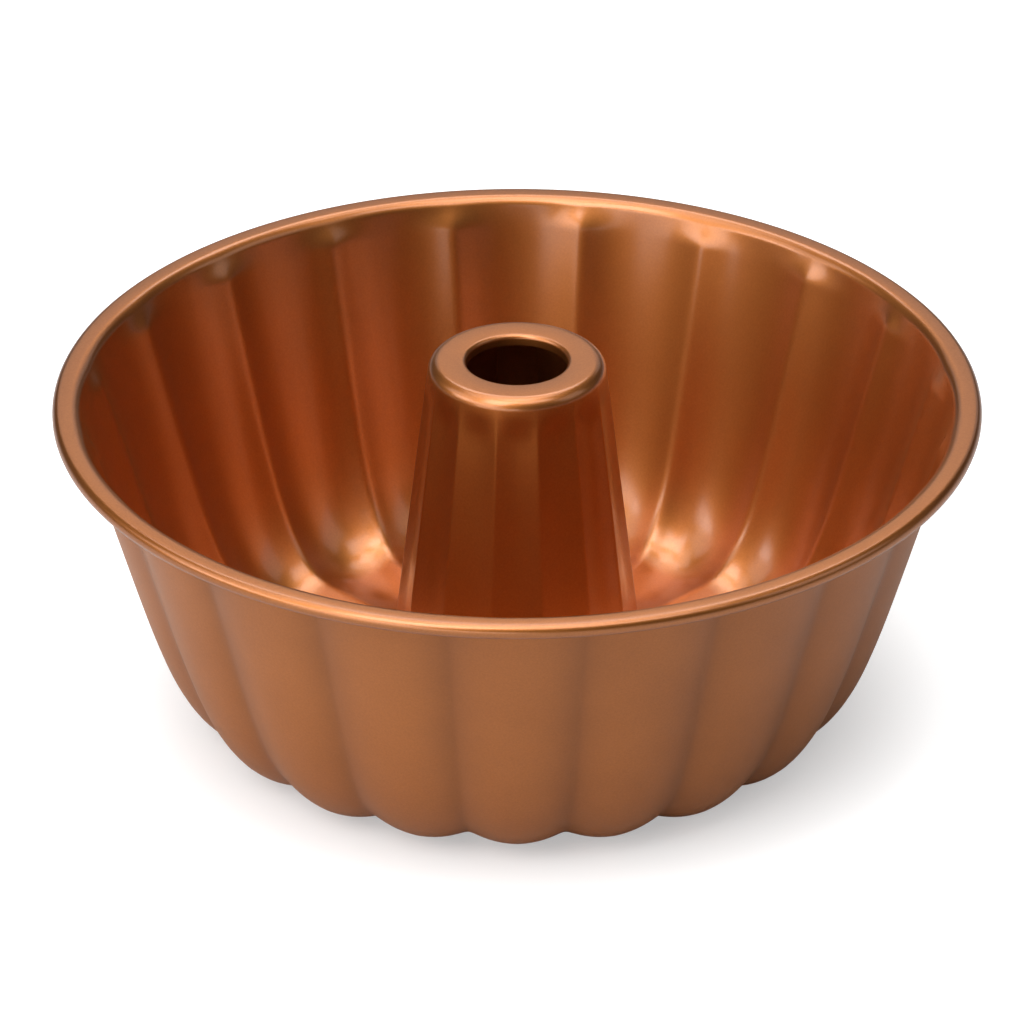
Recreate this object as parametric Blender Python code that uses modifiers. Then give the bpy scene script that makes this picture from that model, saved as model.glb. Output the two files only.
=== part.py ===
"""A fluted tube pan, in metres with +Z up: a lobed bowl pressed from sheet, a fluted tube that is
locked into its floor like an eyelet, and the wire inside its rolled edge. It stands on the floor
at the origin, with a lobe and a flute facing the front, which is -Y."""

from math import atan2, cos, pi, radians, sin, tan
from typing import NamedTuple

import bpy
import numpy as np

# Sheet, wire and fit
SHEET = 0.0008
WIRE_DIAMETER = 0.0018
CLEARANCE = 0.0003

# Bowl
RIM_DIAMETER = 0.254
PAN_DEPTH = 0.0947
FLANGE_FLAT = 0.0028
NECK_RADIUS = 0.0031
NECK_SHARE = 0.4
WALL_DRAFT = radians(15.76)
WALL_BEND = 6.09
LOBES = 20
LOBE_DEPTH_TOP = 0.00185
LOBE_DEPTH_FOOT = 0.0029
LOBE_CROWN = 0.2
LOBE_POWER_TOP = 2.4
LOBE_POWER_FOOT = 1.67
ARCH_HEIGHT = 0.003
ARCH_RISE = 0.007
FOOT_LENGTH = 0.0106
SEAM_LAND = 0.0042

# Tube
TUBE_RISE = 0.011
TUBE_TOP_RADIUS = 0.0241
TUBE_DRAFT = radians(6.8)
TUBE_HOLE_RADIUS = 0.0139
LIP_RADIUS = 0.0012
LIP_LENGTH = 0.003
SHOULDER_RADIUS = 0.0036
FLUTES = 14
FLUTE_DEPTH = 0.0012
FLUTE_TOP_GAP = 0.004
FLUTE_TOP_FADE = 0.008
FLUTE_FOOT_FADE = 0.006
FOOT_FILLET = 0.004
BEAD_RADIUS = 0.0014
BEAD_RUN = 0.0011
SEAM_STEP = 0.0023
LOCK_REACH = 0.0035

# How finely the round forms are cut into facets
SEGMENTS_PER_LOBE = 5
SEGMENTS_PER_FLUTE = 4
BOWL_STEPS = LOBES * SEGMENTS_PER_LOBE
TUBE_STEPS = FLUTES * SEGMENTS_PER_FLUTE
CURL_RINGS = 6
NECK_RINGS = 2
ARCH_RINGS = 2
MID_WALL = 0.6
BEND_RINGS = 6
WIRE_SIDES = 6
LAW_SAMPLES = 600

# Places that follow from the sizes above, shared by the pieces that meet there
RIM_RADIUS = RIM_DIAMETER / 2
CURL_PATH_RADIUS = WIRE_DIAMETER / 2 + CLEARANCE
CURL_RADIUS = CURL_PATH_RADIUS + SHEET
CURL_CENTRE = (RIM_RADIUS - CURL_RADIUS, PAN_DEPTH - CURL_RADIUS)
NECK_CENTRE = (CURL_CENTRE[0] - FLANGE_FLAT, PAN_DEPTH - NECK_RADIUS)
FLOOR_HEIGHT = LOBE_DEPTH_FOOT
RING_TOP = FLOOR_HEIGHT + SHEET
TUBE_TOP = PAN_DEPTH + TUBE_RISE
BEAD_TOP = RING_TOP + CLEARANCE + 2 * BEAD_RADIUS


class Ring(NamedTuple):
    """One ring of the bowl before its lobes are pressed. lean is the way that they are pressed
    here, as an angle below the horizontal, and lobe is how far. drop is the way down the wall from
    the neck, which the arched tops of the lobes need, and power is how round the lobes are."""

    radius: float
    height: float
    lean: float = 0.0
    lobe: float = 0.0
    drop: float = PAN_DEPTH
    power: float = LOBE_POWER_FOOT


def arc(centre, radius, start, end, segments):
    """Points along an arc of the profile, both ends included."""
    angles = np.linspace(start, end, segments + 1)
    return [(centre[0] + radius * cos(a), centre[1] + radius * sin(a)) for a in angles]


def smooth_step(x):
    """0 below 0, 1 above 1, and an S curve between."""
    x = min(max(x, 0.0), 1.0)
    return x * x * (3 - 2 * x)


def tube_radius(height):
    """The radius of the tube's plain cone, which the ridges between its flutes keep."""
    return TUBE_TOP_RADIUS + tan(TUBE_DRAFT) * (TUBE_TOP - height)


SLEEVE_RADIUS = tube_radius(BEAD_TOP) + SEAM_STEP
FOOT_CENTRE = (
    tube_radius(BEAD_TOP + FOOT_FILLET) + FOOT_FILLET / cos(TUBE_DRAFT),
    BEAD_TOP + FOOT_FILLET,
)
BEAD_CENTRE = (FOOT_CENTRE[0] + BEAD_RUN, BEAD_TOP - BEAD_RADIUS)


def wall_law():
    """The crest line of a lobe, from the neck to where it lies on the floor. Its slope stays near
    the draft for most of the way and then turns under: draft + (90 degrees - draft) * u ** bend.
    The line is scaled so that it ends on the floor."""
    under_neck = NECK_RADIUS - SHEET - NECK_SHARE * LOBE_DEPTH_TOP
    top_radius = NECK_CENTRE[0] - under_neck * cos(WALL_DRAFT)
    top_height = NECK_CENTRE[1] + under_neck * sin(WALL_DRAFT)
    u = np.linspace(0, 1, LAW_SAMPLES)
    lean = WALL_DRAFT + (pi / 2 - WALL_DRAFT) * u**WALL_BEND
    run, fall = np.sin(lean), np.cos(lean)
    run = np.concatenate([[0], np.cumsum((run[1:] + run[:-1]) / 2)]) / (LAW_SAMPLES - 1)
    fall = np.concatenate([[0], np.cumsum((fall[1:] + fall[:-1]) / 2)]) / (LAW_SAMPLES - 1)
    length = top_height / fall[-1]
    return u, top_radius - length * run, top_height - length * fall, length


def wall_rings():
    """Rings down the wall on the valley line. It starts NECK_SHARE of a lobe's depth inside the
    crest line, so that the lobes swell out of the neck and the creases come in from it. Below the
    arched tops it lies the full depth inside."""
    u_table, radii, heights, length = wall_law()
    arch_end = (ARCH_HEIGHT + ARCH_RISE) / length
    stations = [arch_end * k / ARCH_RINGS for k in range(ARCH_RINGS + 1)] + [MID_WALL]
    stations += [(k / BEND_RINGS) ** (1 / WALL_BEND) for k in range(1, BEND_RINGS + 1)]
    rings = []
    for u in stations:
        lean = WALL_DRAFT + (pi / 2 - WALL_DRAFT) * u**WALL_BEND
        lobe = LOBE_DEPTH_TOP + (LOBE_DEPTH_FOOT - LOBE_DEPTH_TOP) * u
        power = LOBE_POWER_TOP + (LOBE_POWER_FOOT - LOBE_POWER_TOP) * u
        inset = lobe * (NECK_SHARE + (1 - NECK_SHARE) * smooth_step(u * length / ARCH_RISE))
        radius = np.interp(u, u_table, radii) - inset * cos(lean)
        height = np.interp(u, u_table, heights) + inset * sin(lean)
        rings.append(Ring(radius, height, lean, lobe, u * length, power))
    return rings


def floor_rings(outer_radius):
    """Rings from the wall's foot in to the tube's hole. The lobes lie flat on the floor for the
    length of their feet, then fade into the flat ring that carries the tube."""
    fade_start = outer_radius - FOOT_LENGTH
    fade_end = BEAD_CENTRE[0] + BEAD_RADIUS + SEAM_LAND
    rings = []
    for radius in (fade_start, (fade_start + fade_end) / 2, fade_end):
        lobe = LOBE_DEPTH_FOOT * smooth_step((radius - fade_end) / (fade_start - fade_end))
        rings.append(Ring(radius, FLOOR_HEIGHT, pi / 2, lobe))
    return rings + [Ring(SLEEVE_RADIUS + CLEARANCE, FLOOR_HEIGHT)]


def bowl_rings():
    """The bowl's outside face, from the tip of the rolled edge down to the hole in its floor."""
    edge = arc(CURL_CENTRE, CURL_PATH_RADIUS, pi, 2.5 * pi, CURL_RINGS)
    neck = arc(NECK_CENTRE, NECK_RADIUS - SHEET, pi / 2, pi - WALL_DRAFT, NECK_RINGS)
    wall = wall_rings()
    return [Ring(*point) for point in edge + neck[:-1]] + wall + floor_rings(wall[-1].radius)


def tube_profile():
    """The tube's outer face, from its turned-down lip over the top and down to the lock."""
    lip_centre = (TUBE_HOLE_RADIUS + LIP_RADIUS, TUBE_TOP - LIP_RADIUS)
    shoulder_height = TUBE_TOP - SHOULDER_RADIUS
    shoulder_radius = tube_radius(shoulder_height) - SHOULDER_RADIUS / cos(TUBE_DRAFT)
    fade_top = TUBE_TOP - FLUTE_TOP_GAP - FLUTE_TOP_FADE
    fade_foot = BEAD_TOP + FOOT_FILLET + FLUTE_FOOT_FADE
    points = [(TUBE_HOLE_RADIUS, TUBE_TOP - LIP_LENGTH)]
    points += arc(lip_centre, LIP_RADIUS, pi, pi / 2, 2)
    points += arc((shoulder_radius, shoulder_height), SHOULDER_RADIUS, pi / 2, TUBE_DRAFT, 3)
    points += [(tube_radius(z), z) for z in (fade_top, fade_foot)]
    points += arc(FOOT_CENTRE, FOOT_FILLET, pi + TUBE_DRAFT, 1.5 * pi, 2)
    points += arc(BEAD_CENTRE, BEAD_RADIUS, pi / 2, -pi / 2, 4)
    points += [(SLEEVE_RADIUS, RING_TOP + CLEARANCE), (SLEEVE_RADIUS, FLOOR_HEIGHT - CLEARANCE)]
    return points + [(SLEEVE_RADIUS + LOCK_REACH, FLOOR_HEIGHT - CLEARANCE)]


def turned_mesh(name, profile, steps):
    """A mesh turned from a profile of (radius, height) points. Each step holds one copy of the
    profile in its own order, so point i of step k has the index k * len(profile) + i."""
    mesh = bpy.data.meshes.new(name + "_profile")
    edges = [(i, i + 1) for i in range(len(profile) - 1)]
    mesh.from_pydata([(radius, 0, height) for radius, height in profile], edges, [])
    guide = bpy.data.objects.new(name + "_profile", mesh)
    bpy.context.scene.collection.objects.link(guide)
    screw = guide.modifiers.new("turn", "SCREW")
    screw.steps = screw.render_steps = steps
    screw.use_merge_vertices = False
    bpy.context.view_layer.update()
    turned = bpy.data.meshes.new_from_object(guide.evaluated_get(bpy.context.evaluated_depsgraph_get()))
    bpy.data.objects.remove(guide)
    bpy.data.meshes.remove(mesh)
    turned.name = name
    return turned


def phase(angle, count):
    """How far an angle is from the nearest of count equal lobes, or of the ridges between count
    flutes: 0 on it, 1 halfway to the next."""
    share = angle * count / (2 * pi)
    return 2 * abs(share - round(share))


def press_lobes(mesh, rings):
    """Pushes the bowl's turned mesh out into its lobes. A lobe has a narrow flat crown and falls
    off to a crease, and its top is an arch."""
    half_step = pi / BOWL_STEPS
    for vertex in mesh.vertices:
        ring = rings[vertex.index % len(rings)]
        angle = atan2(vertex.co.y, vertex.co.x) + half_step
        across = phase(angle, LOBES)
        beside_crown = max(across - LOBE_CROWN, 0.0) / (1 - LOBE_CROWN)
        arch = smooth_step((ring.drop - ARCH_HEIGHT * across**2) / ARCH_RISE)
        push = ring.lobe * arch * (1 - beside_crown**ring.power)
        radius = ring.radius + push * cos(ring.lean)
        height = ring.height - push * sin(ring.lean)
        vertex.co = (radius * cos(angle), radius * sin(angle), height)


def press_flutes(mesh):
    """Presses the tube's flutes in between ridges that keep its cone. They fade out below the
    shoulder and above the foot."""
    top = TUBE_TOP - FLUTE_TOP_GAP
    foot = BEAD_TOP + FOOT_FILLET
    for vertex in mesh.vertices:
        x, y, height = vertex.co
        radius = (x * x + y * y) ** 0.5
        across = 1 - phase(atan2(y, x), FLUTES)
        fade = smooth_step((top - height) / FLUTE_TOP_FADE)
        fade *= smooth_step((height - foot) / FLUTE_FOOT_FADE)
        share = 1 - FLUTE_DEPTH * fade * (1 - across**2) / radius
        vertex.co = (x * share, y * share, height)


def metal(name, colour, roughness, metallic):
    material = bpy.data.materials.new(name)
    material.use_nodes = True
    shader = material.node_tree.nodes["Principled BSDF"]
    shader.inputs["Base Color"].default_value = colour
    shader.inputs["Roughness"].default_value = roughness
    shader.inputs["Metallic"].default_value = metallic
    return material


def add_piece(name, mesh, material, collection):
    """Puts a mesh in the collection as one of the pan's pieces, shaded smooth but for its folds."""
    mesh.materials.clear()
    mesh.materials.append(material)
    mesh.shade_smooth()
    mesh.set_sharp_from_angle(angle=radians(35))
    piece = bpy.data.objects.new(name, mesh)
    collection.objects.link(piece)
    return piece


def give_thickness(piece):
    """Turns a face mesh into sheet metal, on the side away from its normals."""
    wall = piece.modifiers.new("sheet", "SOLIDIFY")
    wall.thickness = SHEET
    wall.offset = -1
    wall.use_even_offset = True
    wall.use_quality_normals = True


def make_bowl(collection, material):
    rings = bowl_rings()
    mesh = turned_mesh("fluted_bowl", [(ring.radius, ring.height) for ring in rings], BOWL_STEPS)
    press_lobes(mesh, rings)
    give_thickness(add_piece("fluted_bowl", mesh, material, collection))
    print(f"fluted_bowl: {LOBES} lobes, hole in the floor {2000 * rings[-1].radius:.1f} mm across")


def make_tube(collection, material):
    mesh = turned_mesh("centre_tube", tube_profile(), TUBE_STEPS)
    press_flutes(mesh)
    give_thickness(add_piece("centre_tube", mesh, material, collection))
    print(f"centre_tube: {FLUTES} flutes, top at {1000 * TUBE_TOP:.1f} mm")


def make_wire(collection, material):
    """The wire lies in the middle of the rolled edge, with the clearance all round it. Its facets
    follow the bowl's, so that the clearance is the same at every step."""
    bpy.ops.mesh.primitive_torus_add(
        location=(0, 0, CURL_CENTRE[1]),
        rotation=(0, 0, pi / BOWL_STEPS),
        major_radius=CURL_CENTRE[0],
        minor_radius=WIRE_DIAMETER / 2,
        major_segments=BOWL_STEPS,
        minor_segments=WIRE_SIDES,
    )
    wire = bpy.context.object
    wire.name = wire.data.name = "rim_wire"
    wire.data.materials.append(material)
    wire.data.shade_smooth()
    for holder in list(wire.users_collection):
        holder.objects.unlink(wire)
    collection.objects.link(wire)
    print(f"rim_wire: {1000 * WIRE_DIAMETER:.1f} mm wire")


def main():
    for old in list(bpy.data.objects):
        bpy.data.objects.remove(old)
    collection = bpy.data.collections.new("fluted_tube_pan")
    bpy.context.scene.collection.children.link(collection)
    copper = metal("copper_coat", (0.42, 0.16, 0.07, 1), 0.34, 0.9)
    steel = metal("bare_wire", (0.45, 0.45, 0.46, 1), 0.4, 1.0)
    make_bowl(collection, copper)
    make_tube(collection, copper)
    make_wire(collection, steel)


main()
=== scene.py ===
# %% [markdown]
# # A copper-coloured fluted tube pan
#
# The real pan is three pieces of metal. A bowl is spun and pressed from sheet steel, so that twenty
# lobes run down its wall. A hollow fluted tube stands in the middle and is locked into the bowl's
# floor like an eyelet. The bowl's edge is rolled over a ring of wire. Both sheets carry a satin
# copper-coloured coat.
#
# The solids of those pieces are loaded here from model.glb as a fixed frame. They are cut
# into large facets, so each is replaced by a fine mesh of the same form. We make that mesh in the
# order of the workshop: turn a profile, press the lobes, then give the sheet its thickness.

# %% Load the frame
from math import cos, pi, radians, sin, tan

import bpy
import numpy as np
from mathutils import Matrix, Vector


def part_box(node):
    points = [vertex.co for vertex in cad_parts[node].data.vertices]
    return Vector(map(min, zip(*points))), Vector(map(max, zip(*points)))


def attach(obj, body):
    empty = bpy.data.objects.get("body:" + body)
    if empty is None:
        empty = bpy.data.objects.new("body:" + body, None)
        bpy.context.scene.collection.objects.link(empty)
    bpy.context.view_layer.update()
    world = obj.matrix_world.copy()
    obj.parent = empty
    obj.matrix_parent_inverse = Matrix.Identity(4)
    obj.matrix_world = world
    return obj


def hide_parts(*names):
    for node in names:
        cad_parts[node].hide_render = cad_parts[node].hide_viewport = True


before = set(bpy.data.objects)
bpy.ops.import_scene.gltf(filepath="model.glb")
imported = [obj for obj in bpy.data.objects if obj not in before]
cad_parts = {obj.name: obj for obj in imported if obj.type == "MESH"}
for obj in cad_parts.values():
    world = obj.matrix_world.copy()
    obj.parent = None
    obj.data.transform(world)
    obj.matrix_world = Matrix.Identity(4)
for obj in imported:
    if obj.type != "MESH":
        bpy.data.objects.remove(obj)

scene = bpy.context.scene
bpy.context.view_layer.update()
print("solids:", ", ".join(sorted(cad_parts)))

# %% [markdown]
# ## The sizes that everything follows
#
# All lengths are in metres, and z = 0 is the surface that the pan stands on. The overall sizes are
# read from the frame's boxes, so that the dressed pan can't drift from the solids. The rest repeats
# the driving sizes of the solids: gauge, draft, depth of the lobes and so on. A few are tuned further
# to the photograph: how round the lobes are, and how their ridges grow out of the neck. A size that
# follows from another one is worked out from it and isn't typed twice.

# %% Overall sizes from the frame, then the sheet and the wire
bowl_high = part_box("fluted_bowl")[1]
RIM_RADIUS = bowl_high.x
PAN_DEPTH = bowl_high.z
TUBE_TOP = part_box("centre_tube")[1].z
SHEET = 0.0008
CLEARANCE = 0.0003
WIRE_RADIUS = 0.0009
CURL_PATH_RADIUS = WIRE_RADIUS + CLEARANCE
CURL_RADIUS = CURL_PATH_RADIUS + SHEET
CURL_CENTRE = (RIM_RADIUS - CURL_RADIUS, PAN_DEPTH - CURL_RADIUS)
print(f"rim {2000 * RIM_RADIUS:.1f} mm across, {1000 * PAN_DEPTH:.1f} mm deep")
print(f"tube top at {1000 * TUBE_TOP:.1f} mm, rolled edge {2000 * CURL_RADIUS:.1f} mm thick")

# %% Sizes of the bowl's wall, its lobes and its floor
FLANGE_FLAT = 0.0028
NECK_RADIUS = 0.0031
NECK_CENTRE = (CURL_CENTRE[0] - FLANGE_FLAT, PAN_DEPTH - NECK_RADIUS)
WALL_DRAFT = radians(15.76)
WALL_BEND = 6.09
LOBES = 20
LOBE_DEPTH_TOP = 0.00185
LOBE_DEPTH_FOOT = 0.0029
ROUNDNESS_TOP = 2.6
ROUNDNESS_FOOT = 2.2
CREASE_SOFTNESS = 0.1
ARCH_HEIGHT = 0.0005
ARCH_SQUARENESS = 3.0
ARCH_RISE = 0.009
ARCH_START = radians(100)
FOOT_LENGTH = 0.0106
SEAM_LAND = 0.0042
FLOOR_HEIGHT = LOBE_DEPTH_FOOT
RING_TOP = FLOOR_HEIGHT + SHEET
print(f"{LOBES} lobes, {360 / LOBES:.0f} degrees apart")

# %% Sizes of the tube, its flutes and its seam with the bowl
TUBE_TOP_RADIUS = 0.0241
TUBE_DRAFT = radians(6.8)
TUBE_HOLE_RADIUS = 0.0139
LIP_RADIUS = 0.0012
LIP_LENGTH = 0.003
SHOULDER_RADIUS = 0.0036
FLUTES = 14
FLUTE_DEPTH = 0.0012
FLUTE_ROUNDNESS = 2.0
RIDGE_SOFTNESS = 0.05
FLUTE_TOP_GAP = 0.004
FLUTE_TOP_FADE = 0.008
FLUTE_FOOT_FADE = 0.006
FOOT_FILLET = 0.004
BEAD_RADIUS = 0.0014
BEAD_RUN = 0.0011
SEAM_STEP = 0.0023
LOCK_REACH = 0.0035
BEAD_TOP = RING_TOP + CLEARANCE + 2 * BEAD_RADIUS


def tube_radius(height):
    """The tube's plain cone, which the ridges between its flutes keep."""
    return TUBE_TOP_RADIUS + tan(TUBE_DRAFT) * (TUBE_TOP - height)


SLEEVE_RADIUS = tube_radius(BEAD_TOP) + SEAM_STEP
FOOT_CENTRE = (
    tube_radius(BEAD_TOP + FOOT_FILLET) + FOOT_FILLET / cos(TUBE_DRAFT),
    BEAD_TOP + FOOT_FILLET,
)
BEAD_CENTRE = (FOOT_CENTRE[0] + BEAD_RUN, BEAD_TOP - BEAD_RADIUS)
print(f"{FLUTES} flutes, sleeve {2000 * SLEEVE_RADIUS:.1f} mm across where it passes the floor")

# %% [markdown]
# ## Profiles
#
# A pressed pan starts as a turned form, and a turned form is one profile going round an axis. We
# write each profile as a list of stations, the bowl's from its edge inwards and the tube's from its
# hole outwards. A station says where the plain sheet is, and also what the press does there: which
# way it pushes and how far. The push is stored as a small vector, so that one rule works on the steep
# wall, on the bend and on the flat floor. The last number is the drop, the way down from the place
# where the lobes start. Where nothing starts, as on the floor and the tube, it is just large.

# %% A station, and two helpers that profiles are made of
FAR_DOWN = 1.0


def station(radius, height, push=(0.0, 0.0), drop=FAR_DOWN):
    """One point of a profile: its place, the full push of the press, and its drop."""
    return {"place": (radius, height), "push": push, "drop": drop}


def arc(centre, radius, start, end, segments):
    """Places along an arc of a profile, both ends included."""
    angles = np.linspace(start, end, segments + 1)
    return [(centre[0] + radius * cos(a), centre[1] + radius * sin(a)) for a in angles]


def smooth_step(x):
    """0 below 0, 1 above 1, and an S curve between."""
    x = min(max(x, 0.0), 1.0)
    return x * x * (3 - 2 * x)


print("smooth step at a quarter and at a half:", smooth_step(0.25), smooth_step(0.5))

# %% [markdown]
# ### The wall
#
# Seen from the side, the crest of a lobe stays near the draft angle for most of its length and then
# turns under quickly. A power does that with one number: the slope is draft + (90 - draft) * u ** bend,
# where u runs from 0 at the neck to 1 at the floor. Adding up the slope gives the line, and the line
# is scaled so that it ends on the floor.
#
# The valleys between the lobes lie a lobe's depth inside that line, and the press pushes the crowns
# back out to it. Both start at nothing in the round neck and grow over about a centimetre, so the
# crowns keep to the crest line and each ridge comes out of the neck gradually. A press can't make an
# undercut: the sheet has to lean outwards all the way up, or the pan would stick to its die, and a
# cake would stick in the pan.
#
# The first stretch of a ridge is still in the neck, so the drop is ARCH_LEAD, and not 0, where the
# neck ends and the wall starts.

# %% The crest line of a lobe
LAW_SAMPLES = 2000
UNDER_NECK = NECK_RADIUS - SHEET


def wall_lean(u):
    """The wall's angle from upright at u."""
    return WALL_DRAFT + (pi / 2 - WALL_DRAFT) * u**WALL_BEND


def added_up(slope):
    """The line that a slope draws as u runs from 0 to 1."""
    return np.concatenate([[0], np.cumsum((slope[1:] + slope[:-1]) / 2)]) / (LAW_SAMPLES - 1)


def crest_line():
    """u, radius and height along the crest of a lobe, and the length of that line."""
    top_radius = NECK_CENTRE[0] - UNDER_NECK * cos(WALL_DRAFT)
    top_height = NECK_CENTRE[1] + UNDER_NECK * sin(WALL_DRAFT)
    u = np.linspace(0, 1, LAW_SAMPLES)
    run = added_up(np.sin(wall_lean(u)))
    fall = added_up(np.cos(wall_lean(u)))
    length = top_height / fall[-1]
    return u, top_radius - length * run, top_height - length * fall, length


CREST_U, CREST_RADIUS, CREST_HEIGHT, CREST_LENGTH = crest_line()
print(f"a lobe's crest is {1000 * CREST_LENGTH:.1f} mm long")
print(f"it ends {1000 * CREST_RADIUS[-1]:.1f} mm from the axis")

# %% The bowl's stations, from the tip of the rolled edge to the hole in the floor
CURL_SEGMENTS = 16
NECK_SEGMENTS = 14
ARCH_STATIONS = 13
STEEP_STATIONS = 18
BEND_STATIONS = 24
BEND_START = 0.62
FLOOR_STATIONS = 14
ARCH_LEAD = (pi - WALL_DRAFT - ARCH_START) * UNDER_NECK


def inset_station(crest, outwards, depth, drop):
    """A station on the valley line, which leaves the crest line as the lobes grow below the neck."""
    inset = depth * smooth_step(drop / ARCH_RISE)
    radius = crest[0] - inset * outwards[0]
    height = crest[1] - inset * outwards[1]
    return station(radius, height, (depth * outwards[0], depth * outwards[1]), drop)


def wall_station(u):
    """The valley line at u, and the push that makes a lobe there."""
    lean = wall_lean(u)
    depth = LOBE_DEPTH_TOP + (LOBE_DEPTH_FOOT - LOBE_DEPTH_TOP) * u
    crest = (np.interp(u, CREST_U, CREST_RADIUS), np.interp(u, CREST_U, CREST_HEIGHT))
    return inset_station(crest, (cos(lean), -sin(lean)), depth, ARCH_LEAD + u * CREST_LENGTH)


def neck_station(angle):
    """A point of the round neck, where the ridges between the lobes start to grow."""
    outwards = (-cos(angle), -sin(angle))
    crest = (NECK_CENTRE[0] - UNDER_NECK * outwards[0], NECK_CENTRE[1] - UNDER_NECK * outwards[1])
    drop = max(0.0, angle - ARCH_START) * UNDER_NECK
    return inset_station(crest, outwards, LOBE_DEPTH_TOP, drop)


def wall_stations():
    """Close together at the arched tops of the lobes and in the bend, wider between."""
    arch_end = (ARCH_HEIGHT + ARCH_RISE) / CREST_LENGTH
    shares = list(np.linspace(0, arch_end, ARCH_STATIONS))
    shares += list(np.linspace(arch_end, BEND_START, STEEP_STATIONS)[1:])
    shares += list(np.linspace(BEND_START, 1, BEND_STATIONS)[1:])
    return [wall_station(u) for u in shares]


def floor_stations(outer_radius):
    """The lobes lie flat on their feet, then fade into the ring that carries the tube."""
    fade_start = outer_radius - FOOT_LENGTH
    fade_end = BEAD_CENTRE[0] + BEAD_RADIUS + SEAM_LAND
    stations = []
    for radius in np.linspace(fade_start, fade_end, FLOOR_STATIONS):
        depth = LOBE_DEPTH_FOOT * smooth_step((radius - fade_end) / (fade_start - fade_end))
        stations.append(station(radius, FLOOR_HEIGHT, (0.0, -depth)))
    return stations + [station(SLEEVE_RADIUS + CLEARANCE, FLOOR_HEIGHT)]


curl = arc(CURL_CENTRE, CURL_PATH_RADIUS, pi, 2.5 * pi, CURL_SEGMENTS)
neck = [neck_station(angle) for angle in np.linspace(pi / 2, pi - WALL_DRAFT, NECK_SEGMENTS + 1)]
wall = wall_stations()
bowl_profile = [station(*place, drop=0.0) for place in curl] + neck[:-1] + wall
bowl_profile += floor_stations(wall[-1]["place"][0])
print(f"bowl: {len(bowl_profile)} stations")

# %% [markdown]
# ### The tube
#
# The tube is drawn from its hole outwards: the hole's edge is turned down, the top ring is flat, a
# tight shoulder leads into a long cone, and the foot flares into a pressed bead that sits on the
# bowl's floor. Below the bead a sleeve passes through the floor and its edge is turned out under it.
# Here the push points inwards, because the flutes are hollows between ridges.

# %% The tube's stations, from its hole to the lock under the floor
LIP_SEGMENTS = 6
SHOULDER_SEGMENTS = 10
TUBE_WALL_STATIONS = 30
FILLET_SEGMENTS = 6
BEAD_SEGMENTS = 10


def flute_push(height):
    """How far the flutes are pressed in at a height. They fade out at both ends."""
    fade = smooth_step((TUBE_TOP - FLUTE_TOP_GAP - height) / FLUTE_TOP_FADE)
    fade *= smooth_step((height - BEAD_TOP - FOOT_FILLET) / FLUTE_FOOT_FADE)
    return (-FLUTE_DEPTH * fade, 0.0)


shoulder_height = TUBE_TOP - SHOULDER_RADIUS
shoulder_centre = (tube_radius(shoulder_height) - SHOULDER_RADIUS / cos(TUBE_DRAFT), shoulder_height)
lip_centre = (TUBE_HOLE_RADIUS + LIP_RADIUS, TUBE_TOP - LIP_RADIUS)
shoulder = arc(shoulder_centre, SHOULDER_RADIUS, pi / 2, TUBE_DRAFT, SHOULDER_SEGMENTS)
fillet = arc(FOOT_CENTRE, FOOT_FILLET, pi + TUBE_DRAFT, 1.5 * pi, FILLET_SEGMENTS)
cone = [(tube_radius(z), z) for z in np.linspace(shoulder[-1][1], fillet[0][1], TUBE_WALL_STATIONS)]
tube_places = [(TUBE_HOLE_RADIUS, TUBE_TOP - LIP_LENGTH)]
tube_places += arc(lip_centre, LIP_RADIUS, pi, pi / 2, LIP_SEGMENTS)
tube_places += shoulder + cone[1:-1] + fillet
tube_places += arc(BEAD_CENTRE, BEAD_RADIUS, pi / 2, -pi / 2, BEAD_SEGMENTS)
tube_places += [(SLEEVE_RADIUS, RING_TOP + CLEARANCE), (SLEEVE_RADIUS, FLOOR_HEIGHT - CLEARANCE)]
tube_places += [(SLEEVE_RADIUS + LOCK_REACH, FLOOR_HEIGHT - CLEARANCE)]
tube_profile = [station(radius, height, flute_push(height)) for radius, height in tube_places]
print(f"tube: {len(tube_profile)} stations")

# %% [markdown]
# ## Building node trees from a script
#
# The same small helper adds a node to any tree, geometry or shader. Its inputs can be numbers or
# sockets of other nodes, so a formula reads in one line. This keeps the trees below short enough to
# compare with what they mean.

# %% A helper for nodes, and one for formulas
def add_node(tree, kind, inputs=(), **settings):
    """Adds a node, sets its settings, and sets or links its inputs, given as (key, value) pairs."""
    node = tree.nodes.new(kind)
    for name, value in settings.items():
        setattr(node, name, value)
    for key, value in inputs:
        if isinstance(value, bpy.types.NodeSocket):
            tree.links.new(value, node.inputs[key])
        else:
            node.inputs[key].default_value = value
    return node


def formula(tree, operation, *values):
    """One Math node, as the socket that holds its result."""
    return add_node(tree, "ShaderNodeMath", enumerate(values), operation=operation).outputs[0]


print("helpers ready")
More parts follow.
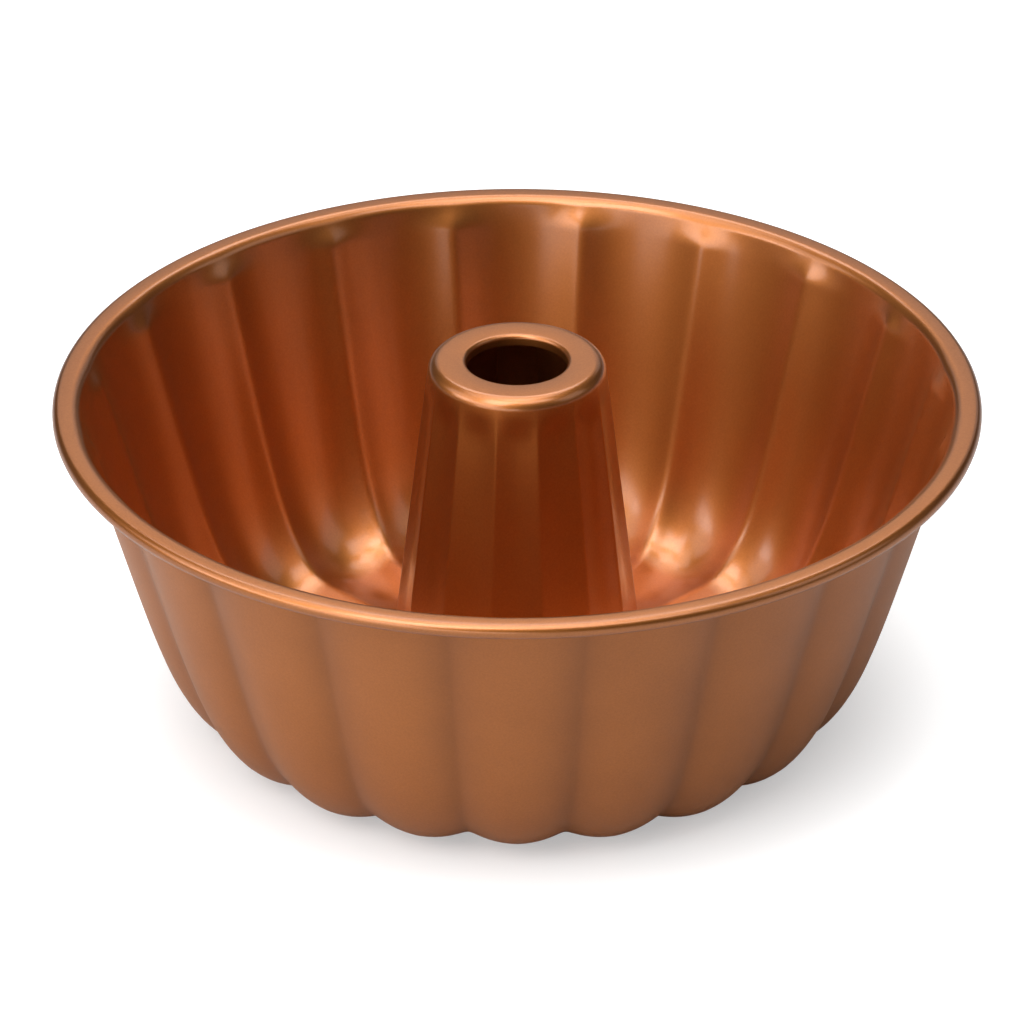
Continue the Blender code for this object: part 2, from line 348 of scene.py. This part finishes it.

# %% [markdown]
# ## The press, as Geometry Nodes
#
# A press pushes equal lobes into a turned blank, and that is a rule: what happens at a point depends
# only on its station and on its angle round the axis. So it is a node tree. It finds the share of a
# lobe that the point is at, makes a rounded hump from it, lets the hump rise from nothing under an
# arch at its upper end, and moves the point along the stored push. The same tree presses the bowl's
# twenty lobes outwards and the tube's fourteen flutes inwards, with other numbers in its inputs. A
# soft crease is the root of x * x plus a small number, which is round at zero and straight further
# out. The tree also notes on each point how deep in a valley it lies, 0 on the crown and 1 in the
# crease, as the mask by which the outside coat paints shade into the creases.

# %% The inputs of the press
PRESS_INPUTS = [
    ("Count", "NodeSocketInt"),
    ("Turn", "NodeSocketFloat"),
    ("Crowding", "NodeSocketFloat"),
    ("Crease softness", "NodeSocketFloat"),
    ("Roundness at the top", "NodeSocketFloat"),
    ("Roundness at the foot", "NodeSocketFloat"),
    ("Foot drop", "NodeSocketFloat"),
    ("Arch height", "NodeSocketFloat"),
    ("Arch squareness", "NodeSocketFloat"),
    ("Arch rise", "NodeSocketFloat"),
    ("Material", "NodeSocketMaterial"),
]


def press_sockets(tree):
    tree.interface.new_socket("Geometry", in_out="INPUT", socket_type="NodeSocketGeometry")
    for name, kind in PRESS_INPUTS:
        tree.interface.new_socket(name, in_out="INPUT", socket_type=kind)
    tree.interface.new_socket("Geometry", in_out="OUTPUT", socket_type="NodeSocketGeometry")
    return add_node(tree, "NodeGroupInput").outputs


print("the press has", len(PRESS_INPUTS), "named inputs")

# %% The rule across one lobe
def hump(tree, share, given):
    """The height of the pressed hump, 0 in the crease and 1 on the crown, and how far across it the
    point is, 0 on the crown and 1 in the crease."""
    nearest = formula(tree, "ROUND", share)
    beside = formula(tree, "ABSOLUTE", formula(tree, "SUBTRACT", share, nearest))
    across = formula(tree, "MULTIPLY", beside, 2.0)
    from_crease = formula(tree, "SUBTRACT", 1.0, across)
    soft = given["Crease softness"]
    soft_squared = formula(tree, "MULTIPLY", soft, soft)
    squared = formula(tree, "MULTIPLY_ADD", from_crease, from_crease, soft_squared)
    rounded = formula(tree, "SUBTRACT", formula(tree, "SQRT", squared), soft)
    drop = add_node(tree, "GeometryNodeInputNamedAttribute", [("Name", "drop")], data_type="FLOAT")
    down = [("Value", drop.outputs[0]), ("From Max", given["Foot drop"]),
            ("To Min", given["Roundness at the top"]), ("To Max", given["Roundness at the foot"])]
    roundness = add_node(tree, "ShaderNodeMapRange", down).outputs[0]
    falling = formula(tree, "POWER", formula(tree, "SUBTRACT", 1.0, rounded), roundness)
    return formula(tree, "SUBTRACT", 1.0, falling), across


def arched_top(tree, across, given):
    """0 above the arch over a lobe, 1 below it, with an S curve between."""
    drop = add_node(tree, "GeometryNodeInputNamedAttribute", [("Name", "drop")], data_type="FLOAT")
    corner = formula(tree, "POWER", across, given["Arch squareness"])
    edge = formula(tree, "MULTIPLY", corner, given["Arch height"])
    below = formula(tree, "SUBTRACT", drop.outputs[0], edge)
    rising = [("Value", below), ("From Min", 0.0), ("From Max", given["Arch rise"])]
    return add_node(tree, "ShaderNodeMapRange", rising, interpolation_type="SMOOTHSTEP").outputs[0]


print("rules for the hump and its arch ready")

# %% The whole tree
VALLEY_NARROWNESS = 3.0


def press_tree():
    tree = bpy.data.node_groups.new("press", "GeometryNodeTree")
    given = press_sockets(tree)
    place = add_node(tree, "GeometryNodeInputPosition").outputs[0]
    x, y, z = add_node(tree, "ShaderNodeSeparateXYZ", [(0, place)]).outputs
    radius = formula(tree, "SQRT", formula(tree, "MULTIPLY_ADD", x, x, formula(tree, "MULTIPLY", y, y)))
    turns = formula(tree, "DIVIDE", formula(tree, "ARCTAN2", y, x), 2 * pi)
    even = formula(tree, "MULTIPLY_ADD", turns, given["Count"], given["Turn"])
    wave = formula(tree, "SINE", formula(tree, "MULTIPLY", even, 2 * pi))
    crowded = formula(tree, "MULTIPLY", formula(tree, "DIVIDE", wave, 2 * pi), given["Crowding"])
    share = formula(tree, "ADD", even, crowded)
    height, across = hump(tree, share, given)
    arched = arched_top(tree, across, given)
    amount = formula(tree, "MULTIPLY", height, arched)
    push = add_node(tree, "GeometryNodeInputNamedAttribute", [("Name", "push")],
                    data_type="FLOAT_VECTOR")
    push = add_node(tree, "ShaderNodeSeparateXYZ", [(0, push.outputs[0])]).outputs
    new_radius = formula(tree, "MULTIPLY_ADD", push[0], amount, radius)
    new_height = formula(tree, "MULTIPLY_ADD", push[2], amount, z)
    back = formula(tree, "DIVIDE", formula(tree, "SUBTRACT", share, given["Turn"]), given["Count"])
    angle = formula(tree, "MULTIPLY", back, 2 * pi)
    new_x = formula(tree, "MULTIPLY", new_radius, formula(tree, "COSINE", angle))
    new_y = formula(tree, "MULTIPLY", new_radius, formula(tree, "SINE", angle))
    target = add_node(tree, "ShaderNodeCombineXYZ", [(0, new_x), (1, new_y), (2, new_height)])
    # How deep in a valley each point lies: the mask for the shade that the outside coat paints into the
    # creases.
    narrow = formula(tree, "POWER", across, VALLEY_NARROWNESS)
    deep = formula(tree, "MULTIPLY", narrow, arched)
    noted = add_node(tree, "GeometryNodeStoreNamedAttribute",
                     [("Geometry", given["Geometry"]), ("Name", "valley"), ("Value", deep)],
                     data_type="FLOAT")
    moved = add_node(tree, "GeometryNodeSetPosition",
                     [("Geometry", noted.outputs[0]), ("Position", target.outputs[0])])
    smooth = add_node(tree, "GeometryNodeSetShadeSmooth", [("Geometry", moved.outputs[0])])
    real = add_node(tree, "GeometryNodeRealizeInstances", [("Geometry", smooth.outputs[0])])
    finish = add_node(tree, "GeometryNodeSetMaterial",
                      [("Geometry", real.outputs[0]), ("Material", given["Material"])])
    add_node(tree, "NodeGroupOutput", [("Geometry", finish.outputs[0])])
    return tree


PRESS = press_tree()
print("press:", len(PRESS.nodes), "nodes")

# %% [markdown]
# ## From profile to sheet metal
#
# The blank is the profile with a Screw modifier, which turns it round the axis. Then the press and
# then Solidify, which adds the gauge of the sheet on the inside of the fold. Modifiers would stay
# editable, but the finished pan has to be plain meshes, so the evaluated result is copied and the
# guide is thrown away. Last, the cut edges of the sheet are marked sharp.

# %% The steps as functions
EDGE_ANGLE = radians(40)
CLOSE_ENOUGH = 1e-6


def profile_guide(name, profile):
    """A line of edges that carries the stations, with the press's push and drop as attributes."""
    mesh = bpy.data.meshes.new(name)
    places = [(radius, 0.0, height) for radius, height in (s["place"] for s in profile)]
    mesh.from_pydata(places, [(i, i + 1) for i in range(len(places) - 1)], [])
    push = mesh.attributes.new("push", "FLOAT_VECTOR", "POINT")
    pushes = [value for s in profile for value in (s["push"][0], 0.0, s["push"][1])]
    push.data.foreach_set("vector", pushes)
    drop = mesh.attributes.new("drop", "FLOAT", "POINT")
    drop.data.foreach_set("value", [s["drop"] for s in profile])
    guide = bpy.data.objects.new(name, mesh)
    scene.collection.objects.link(guide)
    return guide


def turn(guide, steps):
    screw = guide.modifiers.new("turn", "SCREW")
    screw.steps = screw.render_steps = steps
    screw.use_merge_vertices = True
    screw.merge_threshold = CLOSE_ENOUGH


def add_tree(guide, tree, values):
    """Adds a node tree as a modifier and sets its inputs, by their sockets' identifiers."""
    modifier = guide.modifiers.new(tree.name, "NODES")
    modifier.node_group = tree
    for item in tree.interface.items_tree:
        if item.in_out == "INPUT" and item.name in values:
            modifier[item.identifier] = values[item.name]


def thicken(guide):
    sheet = guide.modifiers.new("sheet", "SOLIDIFY")
    sheet.thickness = SHEET
    sheet.offset = -1
    sheet.use_even_offset = True
    sheet.use_quality_normals = True


def plain_mesh(guide, name):
    """The evaluated guide as an object of its own, and the guide removed."""
    bpy.context.view_layer.update()
    graph = bpy.context.evaluated_depsgraph_get()
    mesh = bpy.data.meshes.new_from_object(guide.evaluated_get(graph), depsgraph=graph)
    mesh.name = name
    mesh.set_sharp_from_angle(angle=EDGE_ANGLE)
    bpy.data.objects.remove(guide)
    piece = bpy.data.objects.new(name, mesh)
    scene.collection.objects.link(piece)
    triangles = sum(len(polygon.vertices) - 2 for polygon in mesh.polygons)
    print(f"{name}: {triangles} triangles")
    return piece


def coat_other_side(piece, pressed_faces, material):
    """Gives another coat to the side that Solidify added, whose faces come after the pressed ones."""
    piece.data.materials.append(material)
    sides = [0] * pressed_faces + [1] * (len(piece.data.polygons) - pressed_faces)
    piece.data.polygons.foreach_set("material_index", sides)


print("turn, press, thicken")

# %% [markdown]
# ## The copper coat
#
# The coat is a thin lacquer filled with fine metal flakes, baked on. So it is a metal to look at,
# satin and not polished, with a clear layer over it and a grain of flakes under a millimetre across.
# The grain is noise on Object coordinates, which stay fixed to the metal. It changes the colour and
# the roughness a little and tilts the surface a very little. A second, slower noise makes the small
# clouds that a sprayed coat has.
#
# Each side of the sheet is sprayed on its own. The side that the cake touches gets the smoother,
# glossier coat, and the bowl's outside a thinner one with less shine, in which part of the light
# scatters between the flakes. One function makes both. On the outside it also paints shade into the
# creases: the colour darkens where the press noted a valley, so the creases look darker than the light
# alone makes them.

# %% Helpers for finishes
def new_finish(name):
    """A new material, its node tree and its main shader."""
    material = bpy.data.materials.new(name)
    material.use_nodes = True
    return material, material.node_tree, material.node_tree.nodes["Principled BSDF"]


def noise(tree, place, per_metre, detail=2.0):
    """A noise pattern, as the socket that holds its value."""
    return add_node(tree, "ShaderNodeTexNoise",
                    [("Vector", place), ("Scale", per_metre), ("Detail", detail)]).outputs[0]


def ramp(tree, value, given, wanted):
    """Turns one range of values into another, and stays at its ends outside it."""
    return add_node(tree, "ShaderNodeMapRange",
                    [("Value", value), ("From Min", given[0]), ("From Max", given[1]),
                     ("To Min", wanted[0]), ("To Max", wanted[1])]).outputs[0]


def blend(tree, share, first, second):
    """A colour between two others. For colours a Mix node has inputs 0, 6 and 7, and output 2."""
    return add_node(tree, "ShaderNodeMix", [(0, share), (6, first), (7, second)],
                    data_type="RGBA").outputs[2]


def add_bump(tree, shader, pattern, strength, height):
    bump = add_node(tree, "ShaderNodeBump",
                    [("Height", pattern), ("Strength", strength), ("Distance", height)])
    tree.links.new(bump.outputs[0], shader.inputs["Normal"])


print("helpers for finishes ready")

# %% The copper coat
COPPER = (0.55, 0.184, 0.039)
COPPER_DARK = (0.465, 0.153, 0.032)
# The colour of the shade painted into the creases of the outside.
COPPER_IN_PAINTED_CREASE_SHADE = (0.2, 0.06, 0.012)
FLAKES_PER_METRE = 1800.0
FLAKE_SHARE = 0.55
FLAKE_BUMP = 0.1
FLAKE_HEIGHT = 0.0002
CLOUDS_PER_METRE = 45.0
CLOUD_DETAIL = 3.0
CLOUD_SHARE = 0.45
NOISE_RANGE = (0.3, 0.7)
ROUGHNESS_SPREAD = 0.03


def copper_coat(name, roughness, metallic, clear_weight, clear_roughness, clear_ior, painted_crease_shade):
    """A satin copper-coloured coat: flakes in lacquer, under a clear layer, with shade painted into the
    creases as far as asked.
    """
    material, tree, shader = new_finish(name)
    place = add_node(tree, "ShaderNodeTexCoord").outputs["Object"]
    flakes = noise(tree, place, FLAKES_PER_METRE)
    clouds = noise(tree, place, CLOUDS_PER_METRE, CLOUD_DETAIL)
    fine = formula(tree, "MULTIPLY", flakes, FLAKE_SHARE)
    both = formula(tree, "MULTIPLY_ADD", clouds, CLOUD_SHARE, fine)
    spread = ramp(tree, both, NOISE_RANGE, (0, 1))
    colour = blend(tree, spread, (*COPPER_DARK, 1), (*COPPER, 1))
    # Painted shade: the colour darkens in the creases, as far as the valley attribute and the shade
    # share say.
    valley = add_node(tree, "ShaderNodeAttribute", attribute_name="valley").outputs["Fac"]
    shade = formula(tree, "MULTIPLY", valley, painted_crease_shade)
    shaded = blend(tree, shade, colour, (*COPPER_IN_PAINTED_CREASE_SHADE, 1))
    tree.links.new(shaded, shader.inputs["Base Color"])
    roughest_first = (roughness + ROUGHNESS_SPREAD, roughness - ROUGHNESS_SPREAD)
    tree.links.new(ramp(tree, both, NOISE_RANGE, roughest_first), shader.inputs["Roughness"])
    add_bump(tree, shader, flakes, FLAKE_BUMP, FLAKE_HEIGHT)
    shader.inputs["Metallic"].default_value = metallic
    shader.inputs["Coat Weight"].default_value = clear_weight
    shader.inputs["Coat Roughness"].default_value = clear_roughness
    shader.inputs["Coat IOR"].default_value = clear_ior
    return material


# Only the outside coat paints shade into the creases; the inside gets none.
INSIDE_COAT = copper_coat("copper_coat_inside", roughness=0.42, metallic=1.0, clear_weight=1.0,
                          clear_roughness=0.19, clear_ior=1.6, painted_crease_shade=0.0)
OUTSIDE_COAT = copper_coat("copper_coat_outside", roughness=0.6, metallic=0.6, clear_weight=0.6,
                           clear_roughness=0.3, clear_ior=1.5, painted_crease_shade=0.4)
print("copper coats:", INSIDE_COAT.name, OUTSIDE_COAT.name)

# %% [markdown]
# ## The bowl
#
# Twenty lobes with nothing turned, because a lobe faces the front and the count is a multiple of
# four. Each lobe gets as many steps as its crease needs, and crowding moves the steps towards the
# creases, where the surface turns fastest, and away from the crowns, where it hardly turns. The blank
# is the outer face of the sheet, so the faces that Solidify adds are the inside of the bowl, and they
# get the inside coat.

# %% Make the bowl
BOWL_STEPS_PER_LOBE = 20
STEP_CROWDING = 0.55
bowl_guide = profile_guide("bowl_blank", bowl_profile)
turn(bowl_guide, LOBES * BOWL_STEPS_PER_LOBE)
add_tree(bowl_guide, PRESS, {
    "Count": LOBES,
    "Turn": 0.0,
    "Crowding": STEP_CROWDING,
    "Crease softness": CREASE_SOFTNESS,
    "Roundness at the top": ROUNDNESS_TOP,
    "Roundness at the foot": ROUNDNESS_FOOT,
    "Foot drop": ARCH_LEAD + CREST_LENGTH,
    "Arch height": ARCH_HEIGHT,
    "Arch squareness": ARCH_SQUARENESS,
    "Arch rise": ARCH_RISE,
    "Material": OUTSIDE_COAT,
})
thicken(bowl_guide)
bowl = plain_mesh(bowl_guide, "bowl_shell")
bowl_pressed_faces = (len(bowl_profile) - 1) * LOBES * BOWL_STEPS_PER_LOBE
coat_other_side(bowl, bowl_pressed_faces, INSIDE_COAT)
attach(bowl, "root")
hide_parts("fluted_bowl")

# %% [markdown]
# ## The tube
#
# The same three steps with fourteen flutes. They are turned by half a flute, so that a hollow and
# not a ridge faces the front. The arch isn't wanted here, so its height is zero and every station
# lies far down. The flutes fade at both ends because their push does.

# %% Make the tube
TUBE_STEPS_PER_FLUTE = 20
tube_guide = profile_guide("tube_blank", tube_profile)
turn(tube_guide, FLUTES * TUBE_STEPS_PER_FLUTE)
add_tree(tube_guide, PRESS, {
    "Count": FLUTES,
    "Turn": 0.5,
    "Crowding": STEP_CROWDING,
    "Crease softness": RIDGE_SOFTNESS,
    "Roundness at the top": FLUTE_ROUNDNESS,
    "Roundness at the foot": FLUTE_ROUNDNESS,
    "Foot drop": FAR_DOWN,
    "Arch height": 0.0,
    "Arch squareness": 1.0,
    "Arch rise": ARCH_RISE,
    "Material": INSIDE_COAT,
})
thicken(tube_guide)
tube = plain_mesh(tube_guide, "tube_shell")
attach(tube, "root")
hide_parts("centre_tube")

# %% [markdown]
# ## The wire in the rolled edge
#
# The wire is hidden. Only the slit under the flange, where the rolled edge ends, could let it show as
# a line of grey. It is a small circle swept along a large one, which is what Curve to Mesh does in a
# node tree.

# %% Bare drawn steel
STEEL = (0.5, 0.5, 0.51)
STEEL_SCRATCHES_PER_METRE = 3000.0
STEEL_ROUGHNESS = (0.3, 0.5)
STEEL_BUMP = 0.1
STEEL_HEIGHT = 0.0001


def steel_wire():
    material, tree, shader = new_finish("steel_wire")
    place = add_node(tree, "ShaderNodeTexCoord").outputs["Object"]
    marks = noise(tree, place, STEEL_SCRATCHES_PER_METRE)
    tree.links.new(ramp(tree, marks, (0, 1), STEEL_ROUGHNESS), shader.inputs["Roughness"])
    add_bump(tree, shader, marks, STEEL_BUMP, STEEL_HEIGHT)
    shader.inputs["Base Color"].default_value = (*STEEL, 1)
    shader.inputs["Metallic"].default_value = 1.0
    return material


STEEL_WIRE = steel_wire()
print("steel_wire:", len(STEEL_WIRE.node_tree.nodes), "nodes")

# %% Sweep the wire
WIRE_STEPS = 400
WIRE_SIDES = 16


def wire_tree():
    tree = bpy.data.node_groups.new("wire_ring", "GeometryNodeTree")
    for name, kind in (("Ring radius", "NodeSocketFloat"), ("Wire radius", "NodeSocketFloat"),
                       ("Height", "NodeSocketFloat"), ("Material", "NodeSocketMaterial")):
        tree.interface.new_socket(name, in_out="INPUT", socket_type=kind)
    tree.interface.new_socket("Geometry", in_out="OUTPUT", socket_type="NodeSocketGeometry")
    given = add_node(tree, "NodeGroupInput").outputs
    path = add_node(tree, "GeometryNodeCurvePrimitiveCircle",
                    [("Resolution", WIRE_STEPS), ("Radius", given["Ring radius"])])
    section = add_node(tree, "GeometryNodeCurvePrimitiveCircle",
                       [("Resolution", WIRE_SIDES), ("Radius", given["Wire radius"])])
    swept = add_node(tree, "GeometryNodeCurveToMesh",
                     [("Curve", path.outputs[0]), ("Profile Curve", section.outputs[0])])
    up = add_node(tree, "ShaderNodeCombineXYZ", [(2, given["Height"])])
    raised = add_node(tree, "GeometryNodeTransform",
                      [("Geometry", swept.outputs[0]), ("Translation", up.outputs[0])])
    smooth = add_node(tree, "GeometryNodeSetShadeSmooth", [("Geometry", raised.outputs[0])])
    real = add_node(tree, "GeometryNodeRealizeInstances", [("Geometry", smooth.outputs[0])])
    finish = add_node(tree, "GeometryNodeSetMaterial",
                      [("Geometry", real.outputs[0]), ("Material", given["Material"])])
    add_node(tree, "NodeGroupOutput", [("Geometry", finish.outputs[0])])
    return tree


wire_guide = bpy.data.objects.new("wire_guide", bpy.data.meshes.new("wire_guide"))
scene.collection.objects.link(wire_guide)
add_tree(wire_guide, wire_tree(), {
    "Ring radius": CURL_CENTRE[0],
    "Wire radius": WIRE_RADIUS,
    "Height": CURL_CENTRE[1],
    "Material": STEEL_WIRE,
})
wire = plain_mesh(wire_guide, "wire_ring")
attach(wire, "root")
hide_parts("rim_wire")

# %% [markdown]
# ## The studio
#
# The photograph is a product shot on white: a pale sweep, large soft lamps, and a faint shadow that
# keeps the pan on the ground. The lamps light the floor and the pan at a plain level. What makes the
# floor white in the picture is a glow that only the camera sees. It is weaker beside the pan, so that
# the lamps' shadow stays, and grows over the next few centimetres, so the dip in the glow also paints
# a faint ring of shadow round the pan.
#
# Polished metal would show a white studio all round. This coat is satin, and its right side is much
# darker than its left, so the studio was dark except for its lamps and a pale sweep far behind
# them. Mirror rays find the same here: the floor near the pan shows as it is lit, and the floor and
# the backdrop far away glow faintly.

# %% The floor
FLOOR_SIZE = 12.0
FLOOR_COLOUR = (0.58, 0.58, 0.58)
# Inside these radii the camera's glow is lower: a painted shadow round the pan's foot.
SHADOW_RADIUS = (0.080, 0.118)
SHADOW_GLOW = (0.42, 0.8)
SWEEP_RADIUS = (0.4, 2.5)
SWEEP_GLOW = 0.3


def floor_finish():
    material, tree, shader = new_finish("studio_floor")
    shader.inputs["Base Color"].default_value = (*FLOOR_COLOUR, 1)
    shader.inputs["Roughness"].default_value = 1.0
    shader.inputs["Specular IOR Level"].default_value = 0.0
    place = add_node(tree, "ShaderNodeTexCoord").outputs["Object"]
    reach = add_node(tree, "ShaderNodeVectorMath", [(0, place)], operation="LENGTH").outputs["Value"]
    path = add_node(tree, "ShaderNodeLightPath").outputs
    directly = formula(tree, "MAXIMUM", path["Is Camera Ray"], path["Is Transmission Ray"])
    # Camera rays see a glow that dips near the pan. Besides keeping the lamps' shadow, the dip paints a
    # faint ring of shadow round the foot.
    seen = formula(tree, "MULTIPLY", directly, ramp(tree, reach, SHADOW_RADIUS, SHADOW_GLOW))
    sweep_glow = ramp(tree, reach, SWEEP_RADIUS, (0, SWEEP_GLOW))
    mirrored = formula(tree, "MULTIPLY", path["Is Glossy Ray"], sweep_glow)
    tree.links.new(formula(tree, "MAXIMUM", seen, mirrored), shader.inputs["Emission Strength"])
    shader.inputs["Emission Color"].default_value = (1, 1, 1, 1)
    return material


floor_mesh = bpy.data.meshes.new("studio_floor")
side = FLOOR_SIZE / 2
floor_corners = [(-side, -side, 0), (side, -side, 0), (side, side, 0), (-side, side, 0)]
floor_mesh.from_pydata(floor_corners, [], [(0, 1, 2, 3)])
floor_mesh.materials.append(floor_finish())
floor = bpy.data.objects.new("studio_floor", floor_mesh)
scene.collection.objects.link(floor)
print("floor:", FLOOR_SIZE, "m square")

# %% The world
WORLD_STRENGTH = 0.03
BACKDROP_STRENGTH = 0.3
BACKDROP_SINES = (0.0, 0.15)


def studio_world():
    """White where it is looked at, a faint glow low down where metal mirrors it, dark otherwise."""
    world = bpy.data.worlds.new("studio")
    world.use_nodes = True
    tree = world.node_tree
    background = tree.nodes["Background"]
    background.inputs["Color"].default_value = (1, 1, 1, 1)
    path = add_node(tree, "ShaderNodeLightPath").outputs
    towards = add_node(tree, "ShaderNodeTexCoord").outputs["Generated"]
    height = add_node(tree, "ShaderNodeSeparateXYZ", [(0, towards)]).outputs["Z"]
    directly = formula(tree, "MAXIMUM", path["Is Camera Ray"], path["Is Transmission Ray"])
    backdrop = ramp(tree, height, BACKDROP_SINES, (BACKDROP_STRENGTH, WORLD_STRENGTH))
    mirrored = formula(tree, "MULTIPLY", path["Is Glossy Ray"], backdrop)
    strength = formula(tree, "MAXIMUM", formula(tree, "MAXIMUM", directly, mirrored), WORLD_STRENGTH)
    tree.links.new(strength, background.inputs["Strength"])
    return world


scene.world = studio_world()
print("world strength", WORLD_STRENGTH)

# %% [markdown]
# ### The lamps
#
# Large soft lamps stand round the pan, all at the same distance. What counts is where each one shows
# as a reflection. The wide low ones in front and on the left light the outside and, mirrored, the
# back wall of the trough. The low one behind shows in the flat flange and in the tube's top ring,
# which both mirror what stands 28 degrees up on the far side. The high ones show in what curves
# between flat and steep: the neck, the tube's shoulder and the bend at the foot of the trough. Each
# row gives a name, the azimuth and elevation in degrees, the width and height in metres, and how
# bright the lamp's face is.

# %% The lamps
LAMP_REACH = 1.6
LAMPS = [
    ("top_box", 0, 88, 0.52, 0.52, 4.0),
    ("high_front_left_box", 214, 58, 0.7, 1.1, 5.0),
    ("high_back_left_box", 288, 68, 0.9, 0.56, 1.6),
    ("high_front_right_box", 144, 68, 0.9, 0.56, 2.6),
    ("high_back_box", 10, 72, 0.9, 0.5, 2.0),
    ("back_box", 0, 50, 0.9, 0.5, 3.0),
    ("back_low_box", 5, 27, 1.6, 0.5, 0.45),
    ("right_box", 100, 36, 0.95, 0.8, 0.7),
    ("left_box", 265, 40, 1.0, 0.8, 1.4),
    ("front_left_box", 234, 26, 1.85, 0.51, 2.75),
    ("low_front_left_box", 205, 8, 1.6, 0.42, 1.9),
]
PAN_MIDDLE = Vector((0, 0, PAN_DEPTH / 2))


def softbox(name, azimuth, elevation, width, height, radiance):
    """A plain rectangle of light that faces the pan. Azimuth 0 is behind the pan, 90 on its right."""
    data = bpy.data.lights.new(name, "AREA")
    data.shape = "RECTANGLE"
    data.size = width
    data.size_y = height
    data.energy = radiance * pi * width * height
    lamp = bpy.data.objects.new(name, data)
    around, up = radians(azimuth), radians(elevation)
    away = Vector((sin(around) * cos(up), cos(around) * cos(up), sin(up)))
    lamp.location = PAN_MIDDLE + LAMP_REACH * away
    lamp.rotation_euler = (-away).to_track_quat("-Z", "Y").to_euler()
    lamp.visible_camera = False
    scene.collection.objects.link(lamp)


for lamp_row in LAMPS:
    softbox(*lamp_row)
print("lamps:", ", ".join(lamp_row[0] for lamp_row in LAMPS))

# %% [markdown]
# ## The camera
#
# The photograph was taken from about two metres with a long lens, 28 degrees above the table. The
# rim's ellipse gives the tilt, the difference between its near and far halves gives the distance,
# and its width gives the lens. The pan isn't in the middle of the picture, so the camera is turned
# a little towards a point below the rim, and isn't shifted.

# %% Place the camera
PICTURE = 1024
SENSOR = 36.0
FOCAL_PIXELS = 7090.0
ELEVATION = radians(28.33)
DISTANCE = 1.939
RIM_CENTRE_PIXEL = (517.0, 394.9)
rim_centre = Vector((0, 0, PAN_DEPTH))
towards_camera = Vector((0, -cos(ELEVATION), sin(ELEVATION)))
picture_up = Vector((0, sin(ELEVATION), cos(ELEVATION)))
metres_per_pixel = DISTANCE / FOCAL_PIXELS
right_of_middle = (RIM_CENTRE_PIXEL[0] - PICTURE / 2) * metres_per_pixel
above_middle = (PICTURE / 2 - RIM_CENTRE_PIXEL[1]) * metres_per_pixel
aim = rim_centre - Vector((right_of_middle, 0, 0)) - above_middle * picture_up

camera_data = bpy.data.cameras.new("camera")
camera_data.sensor_width = SENSOR
camera_data.lens = FOCAL_PIXELS * SENSOR / PICTURE
camera = bpy.data.objects.new("camera", camera_data)
camera.location = rim_centre + DISTANCE * towards_camera
camera.rotation_euler = (aim - camera.location).to_track_quat("-Z", "Y").to_euler()
scene.collection.objects.link(camera)
scene.camera = camera
scene.view_settings.view_transform = "Standard"
print(f"lens {camera_data.lens:.1f} mm, {DISTANCE:.2f} m from the rim")
